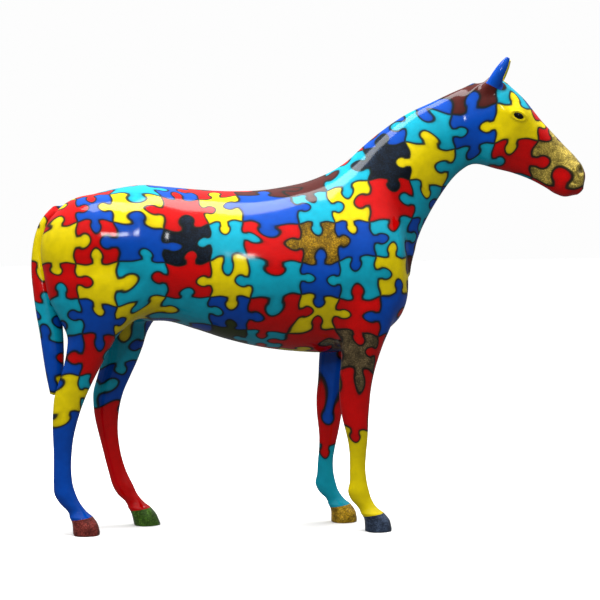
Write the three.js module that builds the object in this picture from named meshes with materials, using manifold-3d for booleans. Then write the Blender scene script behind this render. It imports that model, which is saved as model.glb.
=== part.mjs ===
// A life-size horse in painted glass-fibre resin, standing on its four hooves and cast as one piece:
// trunk, neck, head, ears, legs, hooves and tail are a single solid.
//
// Frame, in millimetres: +X towards the head, +Y to the horse's left, +Z up, the ground at z = 0,
// and the origin under the middle of the whole figure. The tables have an origin of their own.
// The right legs, at -Y, are called near, and the left legs far.
//
// The body is a set of lofts and ovals that run into each other. Each number in the tables is in
// thousandths of the height at the withers, so the whole figure keeps its proportions.

import * as THREE from "three";
import Module from "manifold-3d";

const withersHeight = 1580; // ground to the top of the withers
const share = withersHeight / 1000; // millimetres in one thousandth of that height

const resin = new THREE.MeshStandardMaterial({ color: 0x1466b4, roughness: 0.18, metalness: 0 });

// A loft runs along a straight axis in the side plane, from an origin [x, z], at a slope in degrees.
// Each row is one section across that axis:
//   along     distance from the origin
//   above     edge of the section on the upper side (the front, on a loft that runs down)
//   below     edge on the lower side (the back, on a loft that runs down)
//   half      half of the width across the horse
//   widest    where between below and above the section is widest
//   fullness  power of the section's curve: 2 is an ellipse, less is pinched, more is boxy
//   aside     how far the section lies to the horse's left
// The head and ears are turned a little to the horse's right, about the poll.

const headTurn = -8; // degrees about the vertical, positive to the left
const poll = 515; // where along x the head turns

const trunk = {
  origin: [0, 0],
  slope: -0.8,
  turn: 0,
  sides: 26,
  blend: 0,
  rows: [
    [-712, 905, 700, 78, 800, 2.0, 0],
    [-672, 932, 640, 118, 800, 2.1, 0],
    [-610, 950, 605, 148, 800, 2.2, 0],
    [-540, 967, 592, 162, 790, 2.2, 0],
    [-470, 976, 590, 166, 780, 2.2, 0],
    [-400, 971, 590, 166, 760, 2.1, 0],
    [-320, 964, 568, 174, 735, 2.1, 0],
    [-230, 959, 539, 184, 720, 2.0, 0],
    [-130, 962, 516, 188, 715, 1.95, 0],
    [-30, 979, 504, 181, 720, 1.85, 0],
    [50, 999, 501, 170, 725, 1.75, 0],
    [120, 1007, 508, 158, 730, 1.75, 0],
    [190, 985, 530, 145, 735, 1.9, 0],
    [240, 925, 585, 118, 745, 2.0, 0],
    [270, 850, 650, 84, 755, 2.0, 0],
    [284, 785, 722, 24, 756, 2.0, 0],
  ],
};

const neck = {
  origin: [74, 790],
  slope: 39.2,
  turn: 0,
  sides: 22,
  blend: 50,
  rows: [
    [50, 148, -140, 112, -10, 2.1, 0],
    [120, 154, -160, 104, 0, 2.0, 0],
    [180, 160, -150, 92, 10, 1.9, 0],
    [245, 165, -117, 78, 25, 1.75, 0],
    [334, 165, -83, 64, 40, 1.75, 0],
    [415, 156, -65, 54, 45, 1.8, 0],
    [490, 136, -72, 48, 30, 1.8, 0],
    [558, 118, -80, 44, 15, 1.8, 0],
    [612, 101, -50, 36, 15, 1.8, 0],
  ],
};

const head = {
  origin: [522, 1183],
  slope: -45.8,
  turn: headTurn,
  sides: 20,
  blend: 30,
  rows: [
    [-58, 70, -50, 30, 5, 2.0, 0],
    [-30, 88, -85, 44, 15, 2.1, 0],
    [10, 93, -118, 57, 30, 2.2, 0],
    [60, 94, -128, 62, 40, 2.3, 0],
    [95, 90, -121, 60, 40, 2.3, 0],
    [130, 86, -104, 52, 30, 2.3, 0],
    [177, 84, -76, 42, 28, 2.3, 0],
    [227, 82, -53, 35, 28, 2.3, 0],
    [276, 81, -38, 34, 26, 2.3, 0],
    [309, 75, -30, 35, 20, 2.2, 0],
    [335, 58, -14, 30, 18, 2.1, 0],
    [350, 34, 10, 12, 21, 2.0, 0],
  ],
};

// A leg runs down from inside the body to its sole. Its sections come from the joints, which give
// where the middle of the leg is, and from a profile that the two legs of a pair share.
const forelegProfile = [
  // height, depth, width
  [700, 150, 90],
  [640, 176, 128],
  [580, 150, 118],
  [530, 120, 98],
  [480, 102, 78],
  [420, 92, 64],
  [360, 83, 56],
  [315, 72, 56],
  [287, 64, 55],
  [259, 56, 46],
  [225, 48, 37],
  [170, 45, 34],
  [140, 49, 37],
  [112, 60, 43],
  [90, 58, 41],
  [66, 53, 42],
  [52, 62, 56],
  [34, 70, 67],
  [16, 74, 73],
  [0, 76, 76],
];

const hindlegProfile = [
  [780, 190, 100],
  [720, 290, 164],
  [665, 298, 160],
  [610, 212, 132],
  [560, 140, 104],
  [519, 117, 84],
  [477, 104, 70],
  [430, 95, 58],
  [390, 88, 54],
  [350, 77, 54],
  [315, 68, 51],
  [280, 59, 44],
  [240, 52, 38],
  [180, 50, 36],
  [145, 54, 39],
  [115, 60, 45],
  [90, 57, 43],
  [66, 53, 43],
  [52, 62, 56],
  [34, 70, 66],
  [16, 74, 72],
  [0, 76, 74],
];

// Each joint is [height, x, distance from the middle plane].
const legs = {
  near_fore: {
    side: -1,
    profile: forelegProfile,
    joints: [
      [700, 172, 88],
      [580, 165, 98],
      [511, 155, 100],
      [420, 139, 94],
      [343, 136, 88],
      [259, 143, 84],
      [147, 143, 83],
      [95, 149, 83],
      [63, 172, 83],
      [38, 192, 80],
      [0, 199, 80],
    ],
  },
  far_fore: {
    side: 1,
    profile: forelegProfile,
    joints: [
      [700, 155, 88],
      [580, 128, 98],
      [511, 98, 100],
      [420, 82, 94],
      [343, 69, 92],
      [259, 64, 91],
      [147, 53, 91],
      [95, 59, 91],
      [63, 84, 91],
      [38, 101, 91],
      [0, 106, 91],
    ],
  },
  near_hind: {
    side: -1,
    profile: hindlegProfile,
    joints: [
      [780, -589, 84],
      [665, -565, 90],
      [610, -581, 92],
      [558, -597, 92],
      [477, -627, 90],
      [390, -663, 87],
      [315, -680, 84],
      [203, -688, 82],
      [147, -688, 82],
      [100, -676, 82],
      [63, -647, 82],
      [38, -631, 82],
      [0, -624, 82],
    ],
  },
  far_hind: {
    side: 1,
    profile: hindlegProfile,
    joints: [
      [780, -574, 84],
      [665, -540, 90],
      [600, -532, 92],
      [540, -527, 92],
      [469, -542, 90],
      [390, -572, 87],
      [325, -579, 84],
      [239, -570, 82],
      [123, -538, 82],
      [94, -525, 82],
      [65, -500, 82],
      [38, -479, 82],
      [0, -466, 82],
    ],
  },
};

const tail = {
  origin: [-687, 935],
  slope: -90.8,
  turn: 0,
  sides: 12,
  blend: 8,
  rows: [
    [8, 20, -22, 14, -2, 2, 0],
    [23, 12, -38, 19, -14, 2, 0],
    [45, -8, -56, 21, -36, 2, 0],
    [80, -26, -72, 23, -54, 2, 0],
    [130, -42, -83, 26, -66, 2, 0],
    [190, -36, -86, 31, -62, 2, -4],
    [250, -14, -80, 34, -50, 2, -12],
    [310, 1, -71, 34, -38, 2, -22],
    [370, 7, -59, 31, -29, 2, -34],
    [430, 10, -49, 27, -21, 2, -46],
    [485, 8, -39, 20, -17, 2, -56],
    [540, -4, -27, 10, -16, 2, -62],
  ],
};

const ear = {
  origin: [538, 1235],
  slope: 62,
  turn: headTurn,
  sides: 10,
  blend: 12,
  rows: [
    [-30, 20, -22, 14, 0, 2, 24],
    [-8, 26, -28, 18, 0, 2, 30],
    [16, 22, -23, 17, 0, 2, 36],
    [38, 20, -20, 15, 0, 2, 41],
    [60, 17, -17, 12, 0, 2, 44],
    [82, 12, -12, 8, 0, 2, 45],
    [101, 5, -6, 4, 0, 2, 44],
  ],
};

// Ovals stand for the rounded masses: centre [x, distance aside, z], radii, and how softly they join.
const ovals = [
  { name: "haunch", centre: [-600, 78, 798], radii: [138, 86, 150], blend: 40, turn: 0 },
  { name: "shoulder", centre: [170, 84, 745], radii: [104, 64, 150], blend: 40, turn: 0 },
  { name: "breast", centre: [226, 50, 690], radii: [66, 62, 112], blend: 30, turn: 0 },
  { name: "chest", centre: [221, 0, 760], radii: [69, 78, 112], blend: 30, turn: 0 },
  { name: "cheek", centre: [549, 30, 1093], radii: [56, 26, 62], blend: 20, turn: headTurn },
  { name: "poll", centre: [508, 0, 1223], radii: [42, 30, 27], blend: 20, turn: 0 },
  { name: "lips", centre: [769, 0, 961], radii: [22, 19, 21], blend: 8, turn: headTurn },
];

// Swells and hollows move the surface out, or in, around a point: centre, reach and height.
const swells = [
  { name: "point of hip", centre: [-440, 150, 911], reach: [38, 40, 34], height: 5, turn: 0 },
  { name: "flank hollow", centre: [-374, 165, 805], reach: [56, 60, 80], height: -8, turn: 0 },
  { name: "shoulder blade", centre: [97, 140, 859], reach: [40, 60, 110], height: 7, turn: 0 },
  { name: "elbow muscle", centre: [84, 150, 679], reach: [60, 60, 60], height: 10, turn: 0 },
  { name: "brow", centre: [614, 60, 1176], reach: [26, 24, 16], height: 5, turn: headTurn },
  { name: "eye", centre: [620, 62, 1159], reach: [13, 14, 11], height: 4, turn: headTurn },
  { name: "temple", centre: [590, 60, 1200], reach: [18, 24, 18], height: -5, turn: headTurn },
  { name: "nostril rim", centre: [778, 34, 1014], reach: [24, 20, 22], height: 5, turn: headTurn },
  { name: "nostril", centre: [786, 38, 1008], reach: [11, 14, 13], height: -10, turn: headTurn },
];

const legSides = 14; // points around a leg's section
const legBlend = 34; // how softly a leg runs into the body

// Smooth interpolation of a table's columns by its first column (a cubic through each row).
function spline(rows) {
  const slopes = rows.map((row, i) =>
    row.map((value, c) => {
      const before = rows[Math.max(i - 1, 0)];
      const after = rows[Math.min(i + 1, rows.length - 1)];
      if (before === row) return (after[c] - value) / (after[0] - row[0]);
      if (after === row) return (value - before[c]) / (row[0] - before[0]);
      const back = row[0] - before[0];
      const ahead = after[0] - row[0];
      const rise = ((after[c] - value) / ahead) * back + ((value - before[c]) / back) * ahead;
      return rise / (back + ahead);
    })
  );
  const rising = rows[rows.length - 1][0] > rows[0][0] ? 1 : -1;
  return (at) => {
    let i = 0;
    while (i < rows.length - 2 && (at - rows[i + 1][0]) * rising > 0) i++;
    const step = rows[i + 1][0] - rows[i][0];
    const s = Math.min(1, Math.max(0, (at - rows[i][0]) / step));
    return rows[i].map((value, c) => {
      const next = rows[i + 1][c];
      const a = value * (1 + 2 * s) * (1 - s) ** 2 + next * s * s * (3 - 2 * s);
      return a + step * (slopes[i][c] * s * (1 - s) ** 2 - slopes[i + 1][c] * s * s * (1 - s));
    });
  };
}

// A leg as a loft that runs down from z = 0 at its origin, so "along" is minus the height.
function legLoft(leg) {
  const joint = spline(leg.joints);
  return {
    origin: [0, 0],
    slope: -90,
    turn: 0,
    sides: legSides,
    blend: legBlend,
    rows: leg.profile.map(([height, depth, width]) => {
      const [, x, aside] = joint(height);
      const full = height < 60 ? 2.2 : 2;
      return [-height, x + depth / 2, x - depth / 2, width / 2, x, full, leg.side * aside];
    }),
  };
}

function mirrored(loft) {
  return { ...loft, rows: loft.rows.map((row) => [...row.slice(0, 6), -row[6]]) };
}

const lofts = [
  trunk,
  neck,
  head,
  ...Object.values(legs).map(legLoft),
  ear,
  mirrored(ear),
  tail,
].map((loft) => {
  const angle = THREE.MathUtils.degToRad(loft.slope);
  return {
    ...loft,
    section: spline(loft.rows),
    start: loft.rows[0][0],
    end: loft.rows[loft.rows.length - 1][0],
    along: [Math.cos(angle), Math.sin(angle)],
    across: [-Math.sin(angle), Math.cos(angle)],
  };
});

// Each oval or swell on both sides of the horse, and only once where it is in the middle.
const bothSides = (list) =>
  list.flatMap((item) =>
    (item.centre[1] ? [-1, 1] : [1]).map((side) => ({
      ...item,
      centre: [item.centre[0], side * item.centre[1], item.centre[2]],
    }))
  );
const allOvals = bothSides(ovals);
const allSwells = bothSides(swells);

// A point turned about the vertical through the poll.
function turned(x, y, degrees) {
  if (degrees === 0) return [x, y];
  const angle = THREE.MathUtils.degToRad(degrees);
  const cos = Math.cos(angle);
  const sin = Math.sin(angle);
  return [poll + (x - poll) * cos - y * sin, (x - poll) * sin + y * cos];
}

// Signed distance to a loft, in thousandths: negative inside.
function loftDistance(loft, px, py, z) {
  const [x, y] = turned(px, py, -loft.turn);
  const dx = x - loft.origin[0];
  const dz = z - loft.origin[1];
  const t = dx * loft.along[0] + dz * loft.along[1];
  const w = dx * loft.across[0] + dz * loft.across[1];
  const held = Math.min(loft.end, Math.max(loft.start, t));
  const [, above, below, half, widest, fullness, aside] = loft.section(held);
  const v = y - aside;
  const u = w - widest;
  const reach = u > 0 ? above - widest : widest - below;
  const ratio = (Math.abs(v / half) ** fullness + Math.abs(u / reach) ** fullness) ** (1 / fullness);
  const out = Math.max(Math.hypot(u, v), 1e-6);
  const side = ratio < 1e-6 ? -Math.min(half, reach) : out - out / ratio;
  const past = Math.max(loft.start - t, t - loft.end);
  return past > 0 && side > 0 ? Math.hypot(past, side) : Math.max(past, side);
}

function ovalDistance({ centre, radii, turn }, px, py, z) {
  const [x, y] = turned(px, py, -turn);
  const p = [x - centre[0], y - centre[1], z - centre[2]];
  const ratio = Math.hypot(p[0] / radii[0], p[1] / radii[1], p[2] / radii[2]);
  return ratio < 1e-6 ? -Math.min(...radii) : Math.hypot(...p) * (1 - 1 / ratio);
}

// The nearer of two distances, rounded where they are within "soft" of each other.
function join(a, b, soft) {
  const near = soft ? Math.max(soft - Math.abs(a - b), 0) / soft : 0;
  return Math.min(a, b) - (near ** 2 * soft) / 4;
}

// Signed distance to the whole horse's surface, in thousandths.
function horseDistance(x, y, z) {
  let d = Infinity;
  for (const loft of lofts) d = join(d, loftDistance(loft, x, y, z), d === Infinity ? 0 : loft.blend);
  for (const oval of allOvals) d = join(d, ovalDistance(oval, x, y, z), oval.blend);
  for (const { centre, reach, height, turn } of allSwells) {
    const [tx, ty] = turned(x, y, -turn);
    const q = ((tx - centre[0]) / reach[0]) ** 2 + ((ty - centre[1]) / reach[1]) ** 2;
    d -= height * Math.exp(-q - ((z - centre[2]) / reach[2]) ** 2);
  }
  return d;
}

// A loft as a closed mesh: a ring of points at each row and midway between rows, capped at both ends.
function loftGeometry(loft) {
  const stations = loft.rows.flatMap((row, i) =>
    i === 0 ? [row[0]] : [(row[0] + loft.rows[i - 1][0]) / 2, row[0]]
  );
  const points = [];
  for (const t of stations) {
    const [, above, below, half, widest, fullness, aside] = loft.section(t);
    for (let s = 0; s < loft.sides; s++) {
      const turn = (s / loft.sides) * 2 * Math.PI;
      const sin = Math.sin(turn);
      const cos = Math.cos(turn);
      const reach = cos > 0 ? above - widest : widest - below;
      const w = widest + Math.sign(cos) * Math.abs(cos) ** (2 / fullness) * reach;
      const v = aside + Math.sign(sin) * Math.abs(sin) ** (2 / fullness) * half;
      const x = loft.origin[0] + t * loft.along[0] + w * loft.across[0];
      const z = loft.origin[1] + t * loft.along[1] + w * loft.across[1];
      points.push(...turned(x, v, loft.turn), z);
    }
  }
  const ring = loft.sides;
  const last = stations.length - 1;
  const faces = [];
  for (let i = 0; i < last; i++) {
    for (let s = 0; s < ring; s++) {
      const a = i * ring + s;
      const b = i * ring + ((s + 1) % ring);
      faces.push(a, a + ring, b, b, a + ring, b + ring);
    }
  }
  for (let s = 1; s < ring - 1; s++) {
    faces.push(0, s, s + 1);
    faces.push(last * ring, last * ring + s + 1, last * ring + s);
  }
  const geometry = new THREE.BufferGeometry();
  geometry.setAttribute("position", new THREE.BufferAttribute(new Float32Array(points), 3));
  geometry.setIndex(faces);
  return geometry;
}

const wasm = await Module();
wasm.setup();

function solidFrom(geometry) {
  return new wasm.Manifold(
    new wasm.Mesh({
      numProp: 3,
      vertProperties: geometry.attributes.position.array,
      triVerts: new Uint32Array(geometry.index.array),
    })
  );
}

// The lofts joined into one closed shape, in thousandths.
function joinedShape() {
  return lofts
    .map(loftGeometry)
    .map(solidFrom)
    .reduce((whole, shape) => whole.add(shape));
}

// Moves a point that isn't on a sole onto the softly joined surface, down the distance's slope.
function settled(point) {
  const soleZone = 1;
  let [x, y, z] = point;
  if (z < soleZone) return point;
  const nudge = 0.5;
  for (let pass = 0; pass < 4; pass++) {
    const d = horseDistance(x, y, z);
    const gx = (horseDistance(x + nudge, y, z) - horseDistance(x - nudge, y, z)) / (2 * nudge);
    const gy = (horseDistance(x, y + nudge, z) - horseDistance(x, y - nudge, z)) / (2 * nudge);
    const gz = (horseDistance(x, y, z + nudge) - horseDistance(x, y, z - nudge)) / (2 * nudge);
    const scale = d / Math.max(gx * gx + gy * gy + gz * gz, 0.2);
    x -= scale * gx;
    y -= scale * gy;
    z = Math.max(soleZone, z - scale * gz);
  }
  return [x, y, z];
}

// Where lofts meet, the points crowd along the seam. They spread out evenly between their
// neighbours and settle again, a few times over.
function smoothed(points, triangles) {
  const neighbours = points.map(() => new Set());
  for (let i = 0; i < triangles.length; i += 3) {
    for (let k = 0; k < 3; k++) {
      neighbours[triangles[i + k]].add(triangles[i + ((k + 1) % 3)]);
      neighbours[triangles[i + ((k + 1) % 3)]].add(triangles[i + k]);
    }
  }
  const seamWidth = 16;
  const onSeam = points.map(
    ([x, y, z]) => lofts.filter((loft) => Math.abs(loftDistance(loft, x, y, z)) < seamWidth).length > 1
  );
  let moved = points.map(settled);
  for (let pass = 0; pass < 5; pass++) {
    moved = moved.map((point, i) => {
      if (!onSeam[i]) return point;
      const around = [...neighbours[i]].map((n) => moved[n]);
      const mean = point.map((_, axis) => around.reduce((sum, p) => sum + p[axis], 0) / around.length);
      return settled(point.map((value, axis) => (value + mean[axis]) / 2));
    });
  }
  return moved;
}

function horseGeometry() {
  const mesh = joinedShape().getMesh();
  const points = Array.from({ length: mesh.numVert }, (_, i) =>
    Array.from(mesh.vertProperties.subarray(i * mesh.numProp, i * mesh.numProp + 3))
  );
  const positions = new Float32Array(smoothed(points, mesh.triVerts).flat());
  const geometry = new THREE.BufferGeometry();
  geometry.setAttribute("position", new THREE.BufferAttribute(positions, 3));
  geometry.setIndex(new THREE.BufferAttribute(mesh.triVerts, 1));
  geometry.scale(share, share, share);
  geometry.computeBoundingBox();
  const middle = geometry.boundingBox.getCenter(new THREE.Vector3());
  return geometry.translate(-middle.x, -middle.y, 0);
}

const horse = new THREE.Group();
const body = new THREE.Mesh(horseGeometry(), resin);
body.name = "horse";
horse.add(body);

export default horse;
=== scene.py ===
"""A life-size horse in painted glass-fibre resin: its fine surface, its jigsaw paint and a studio.

The horse is one cast piece, so one mesh stands for the whole of it. The form is the model's own:
lofts and ovals that run softly into each other, from tables in thousandths of the height at the
withers, with the eyes, nostrils, mouth, ear hollows and coronets added. The surface is found on a
grid, and the paint follows each point's place on the coat, worked out once for each vertex.
"""

import math

import bpy
import numpy as np
from mathutils import Euler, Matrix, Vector


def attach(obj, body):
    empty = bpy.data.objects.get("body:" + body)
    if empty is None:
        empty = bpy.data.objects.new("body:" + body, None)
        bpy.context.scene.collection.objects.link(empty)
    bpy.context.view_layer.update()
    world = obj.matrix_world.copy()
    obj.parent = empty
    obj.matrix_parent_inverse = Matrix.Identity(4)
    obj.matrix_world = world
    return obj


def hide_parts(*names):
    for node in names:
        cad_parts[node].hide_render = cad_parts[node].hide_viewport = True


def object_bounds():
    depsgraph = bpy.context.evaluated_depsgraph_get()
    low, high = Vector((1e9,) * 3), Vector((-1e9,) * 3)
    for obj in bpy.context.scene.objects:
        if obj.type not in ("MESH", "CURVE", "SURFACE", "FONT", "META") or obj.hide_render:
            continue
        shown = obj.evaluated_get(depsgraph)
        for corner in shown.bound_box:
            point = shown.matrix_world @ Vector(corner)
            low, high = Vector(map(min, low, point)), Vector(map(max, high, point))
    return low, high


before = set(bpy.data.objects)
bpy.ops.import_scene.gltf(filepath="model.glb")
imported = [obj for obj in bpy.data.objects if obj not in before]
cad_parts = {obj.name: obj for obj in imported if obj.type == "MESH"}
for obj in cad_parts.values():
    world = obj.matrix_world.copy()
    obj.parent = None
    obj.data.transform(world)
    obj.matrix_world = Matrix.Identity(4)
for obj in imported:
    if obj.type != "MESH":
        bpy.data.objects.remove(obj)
cad_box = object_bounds()

WITHERS_HEIGHT = 1.58  # metres, from the ground to the top of the withers
SHARE = WITHERS_HEIGHT / 1000  # metres in one thousandth of that height

# Tables of the form. A loft runs along a straight axis in the side plane, from an origin (x, z), at
# a slope in degrees. Each row is one section across that axis: its distance along, its edge above,
# its edge below, half of its width, where it is widest, the power of its curve, and how far it lies
# to the horse's left. The head and ears are turned to the horse's right, about the poll.
HEAD_TURN = -8  # degrees about the vertical
POLL = 515  # where along x the head turns
LEG_BLEND = 34  # how softly a leg runs into the body

TRUNK = {
    "origin": [0, 0],
    "slope": -0.8,
    "turn": 0,
    "blend": 0,
    "rows": [
        [-712, 905, 700, 78, 800, 2.0, 0],
        [-672, 932, 640, 118, 800, 2.1, 0],
        [-610, 950, 605, 148, 800, 2.2, 0],
        [-540, 967, 592, 162, 790, 2.2, 0],
        [-470, 976, 590, 166, 780, 2.2, 0],
        [-400, 971, 590, 166, 760, 2.1, 0],
        [-320, 964, 568, 174, 735, 2.1, 0],
        [-230, 959, 539, 184, 720, 2.0, 0],
        [-130, 962, 516, 188, 715, 1.95, 0],
        [-30, 979, 504, 181, 720, 1.85, 0],
        [50, 999, 501, 170, 725, 1.75, 0],
        [120, 1007, 508, 158, 730, 1.75, 0],
        [190, 985, 530, 145, 735, 1.9, 0],
        [240, 925, 585, 118, 745, 2.0, 0],
        [270, 850, 650, 84, 755, 2.0, 0],
        [284, 785, 722, 24, 756, 2.0, 0],
    ],
}

NECK = {
    "origin": [74, 790],
    "slope": 39.2,
    "turn": 0,
    "blend": 50,
    "rows": [
        [50, 148, -140, 112, -10, 2.1, 0],
        [120, 154, -160, 104, 0, 2.0, 0],
        [180, 160, -150, 92, 10, 1.9, 0],
        [245, 165, -117, 78, 25, 1.75, 0],
        [334, 165, -83, 64, 40, 1.75, 0],
        [415, 156, -65, 54, 45, 1.8, 0],
        [490, 136, -72, 48, 30, 1.8, 0],
        [558, 118, -80, 44, 15, 1.8, 0],
        [612, 101, -50, 36, 15, 1.8, 0],
    ],
}

HEAD = {
    "origin": [522, 1183],
    "slope": -45.8,
    "turn": HEAD_TURN,
    "blend": 30,
    "rows": [
        [-58, 70, -50, 30, 5, 2.0, 0],
        [-30, 88, -85, 44, 15, 2.1, 0],
        [10, 93, -118, 57, 30, 2.2, 0],
        [60, 94, -128, 62, 40, 2.3, 0],
        [95, 90, -121, 60, 40, 2.3, 0],
        [130, 86, -104, 52, 30, 2.3, 0],
        [177, 84, -76, 42, 28, 2.3, 0],
        [227, 82, -53, 35, 28, 2.3, 0],
        [276, 81, -38, 34, 26, 2.3, 0],
        [309, 75, -30, 35, 20, 2.2, 0],
        [335, 58, -14, 30, 18, 2.1, 0],
        [350, 34, 10, 12, 21, 2.0, 0],
    ],
}

# A leg runs down from inside the body to its sole. Its sections come from the joints, which give
# where the middle of the leg is, and from a profile that the two legs of a pair share.
FORELEG_PROFILE = [
    # height, depth, width
    [700, 150, 90],
    [640, 176, 128],
    [580, 150, 118],
    [530, 120, 98],
    [480, 102, 78],
    [420, 92, 64],
    [360, 83, 56],
    [315, 72, 56],
    [287, 64, 55],
    [259, 56, 46],
    [225, 48, 37],
    [170, 45, 34],
    [140, 49, 37],
    [112, 60, 43],
    [90, 58, 41],
    [66, 53, 42],
    [52, 62, 56],
    [34, 70, 67],
    [16, 74, 73],
    [0, 76, 76],
]

HINDLEG_PROFILE = [
    [780, 190, 100],
    [720, 290, 164],
    [665, 298, 160],
    [610, 212, 132],
    [560, 140, 104],
    [519, 117, 84],
    [477, 104, 70],
    [430, 95, 58],
    [390, 88, 54],
    [350, 77, 54],
    [315, 68, 51],
    [280, 59, 44],
    [240, 52, 38],
    [180, 50, 36],
    [145, 54, 39],
    [115, 60, 45],
    [90, 57, 43],
    [66, 53, 43],
    [52, 62, 56],
    [34, 70, 66],
    [16, 74, 72],
    [0, 76, 74],
]

# Each joint is [height, x, distance from the middle plane].
LEGS = {
    "near_fore": {
        "side": -1,
        "profile": FORELEG_PROFILE,
        "joints": [
            [700, 172, 88],
            [580, 165, 98],
            [511, 155, 100],
            [420, 139, 94],
            [343, 136, 88],
            [259, 143, 84],
            [147, 143, 83],
            [95, 149, 83],
            [63, 172, 83],
            [38, 192, 80],
            [0, 199, 80],
        ],
    },
    "far_fore": {
        "side": 1,
        "profile": FORELEG_PROFILE,
        "joints": [
            [700, 155, 88],
            [580, 128, 98],
            [511, 98, 100],
            [420, 82, 94],
            [343, 69, 92],
            [259, 64, 91],
            [147, 53, 91],
            [95, 59, 91],
            [63, 84, 91],
            [38, 101, 91],
            [0, 106, 91],
        ],
    },
    "near_hind": {
        "side": -1,
        "profile": HINDLEG_PROFILE,
        "joints": [
            [780, -589, 84],
            [665, -565, 90],
            [610, -581, 92],
            [558, -597, 92],
            [477, -627, 90],
            [390, -663, 87],
            [315, -680, 84],
            [203, -688, 82],
            [147, -688, 82],
            [100, -676, 82],
            [63, -647, 82],
            [38, -631, 82],
            [0, -624, 82],
        ],
    },
    "far_hind": {
        "side": 1,
        "profile": HINDLEG_PROFILE,
        "joints": [
            [780, -574, 84],
            [665, -540, 90],
            [600, -532, 92],
            [540, -527, 92],
            [469, -542, 90],
            [390, -572, 87],
            [325, -579, 84],
            [239, -570, 82],
            [123, -538, 82],
            [94, -525, 82],
            [65, -500, 82],
            [38, -479, 82],
            [0, -466, 82],
        ],
    },
}

TAIL = {
    "origin": [-687, 935],
    "slope": -90.8,
    "turn": 0,
    "blend": 8,
    "rows": [
        [8, 20, -22, 14, -2, 2, 0],
        [23, 12, -38, 19, -14, 2, 0],
        [45, -8, -56, 21, -36, 2, 0],
        [80, -26, -72, 23, -54, 2, 0],
        [130, -42, -83, 26, -66, 2, 0],
        [190, -36, -86, 31, -62, 2, -4],
        [250, -14, -80, 34, -50, 2, -12],
        [310, 1, -71, 34, -38, 2, -22],
        [370, 7, -59, 31, -29, 2, -34],
        [430, 10, -49, 27, -21, 2, -46],
        [485, 8, -39, 20, -17, 2, -56],
        [540, -4, -27, 10, -16, 2, -62],
    ],
}

EAR = {
    "origin": [538, 1235],
    "slope": 62,
    "turn": HEAD_TURN,
    "blend": 12,
    "rows": [
        [-30, 20, -22, 14, 0, 2, 24],
        [-8, 26, -28, 18, 0, 2, 30],
        [16, 22, -23, 17, 0, 2, 36],
        [38, 20, -20, 15, 0, 2, 41],
        [60, 17, -17, 12, 0, 2, 44],
        [82, 12, -12, 8, 0, 2, 45],
        [101, 5, -6, 4, 0, 2, 44],
    ],
}

# Ovals stand for the rounded masses: centre [x, distance aside, z], radii, and softness of joining.
OVALS = {
    "haunch": {"centre": [-600, 78, 798], "radii": [138, 86, 150], "blend": 40, "turn": 0},
    "shoulder": {"centre": [170, 84, 745], "radii": [104, 64, 150], "blend": 40, "turn": 0},
    "breast": {"centre": [226, 50, 690], "radii": [66, 62, 112], "blend": 30, "turn": 0},
    "chest": {"centre": [221, 0, 760], "radii": [69, 78, 112], "blend": 30, "turn": 0},
    "cheek": {"centre": [549, 30, 1093], "radii": [56, 26, 62], "blend": 20, "turn": HEAD_TURN},
    "poll": {"centre": [508, 0, 1223], "radii": [42, 30, 27], "blend": 20, "turn": 0},
    "lips": {"centre": [769, 0, 961], "radii": [22, 19, 21], "blend": 8, "turn": HEAD_TURN},
}

# Swells and hollows move the surface out, or in, around a point: centre, reach and height.
SWELLS = {
    "point of hip": {"centre": [-440, 150, 911], "reach": [38, 40, 34], "height": 5, "turn": 0},
    "flank hollow": {"centre": [-374, 165, 805], "reach": [56, 60, 80], "height": -8, "turn": 0},
    "shoulder blade": {"centre": [97, 140, 859], "reach": [40, 60, 110], "height": 7, "turn": 0},
    "elbow muscle": {"centre": [84, 150, 679], "reach": [60, 60, 60], "height": 10, "turn": 0},
    "brow": {"centre": [614, 60, 1176], "reach": [26, 24, 16], "height": 5, "turn": HEAD_TURN},
    "eye": {"centre": [620, 62, 1159], "reach": [13, 14, 11], "height": 4, "turn": HEAD_TURN},
    "temple": {"centre": [590, 60, 1200], "reach": [18, 24, 18], "height": -5, "turn": HEAD_TURN},
    "muzzle": {"centre": [778, 34, 1014], "reach": [24, 20, 22], "height": 5, "turn": HEAD_TURN},
    "nostril": {"centre": [786, 38, 1008], "reach": [11, 14, 13], "height": -10, "turn": HEAD_TURN},
}

# The grid that finds the surface: each stop is a place and the step from there on, in thousandths.
GRID_X = [(-800, 7.5), (-640, 8), (-300, 8.5), (300, 7), (505, 4)]
GRID_X += [(594, 2), (648, 3.6), (765, 2.6), (830, 3)]
GRID_Y = [(-205, 7.5), (-130, 6), (-80, 3.2), (80, 6), (130, 7.5), (205, 7)]
GRID_Z = [(-8, 4), (16, 4.5), (110, 8), (450, 8), (940, 4.2), (1134, 2), (1188, 2.6), (1350, 3)]
CHECK_REACH = 60  # how near a loft its distance is worked out in full

# Fine forms of the head, in its own unturned place: x, distance from the middle plane, z. A ring is
# its height, and its distance and width in shares of the eye's or the nostril's own half size.
HEAD_STARTS = (540, 930)  # the x and z past which the head and the ears lie
EYE = (614, 57, 1160)
EYE_LONG, EYE_HIGH = 15, 8.5  # half length and half height of the opening between the lids
EYE_DEEP = 24  # how far to either side of the eye its forms reach
EYE_SLANT = -24  # degrees that its long side slopes
EYE_RINGS = {"ball": (2.4, 0, 0.8), "lids": (2.0, 1.42, 0.34), "crease": (-0.9, 1.0, 0.2)}
NOSTRIL = (787, 33, 1009)
NOSTRIL_LONG, NOSTRIL_HIGH, NOSTRIL_DEEP = 9, 12, 16
NOSTRIL_RINGS = {"rim": (4.0, 1.35, 0.5), "pit": (-11.0, 0, 1)}
NOSTRIL_SHADE_SIZE = (10, 13)  # half sizes of the dark oval: painted shade in the nostril's hollow
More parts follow.
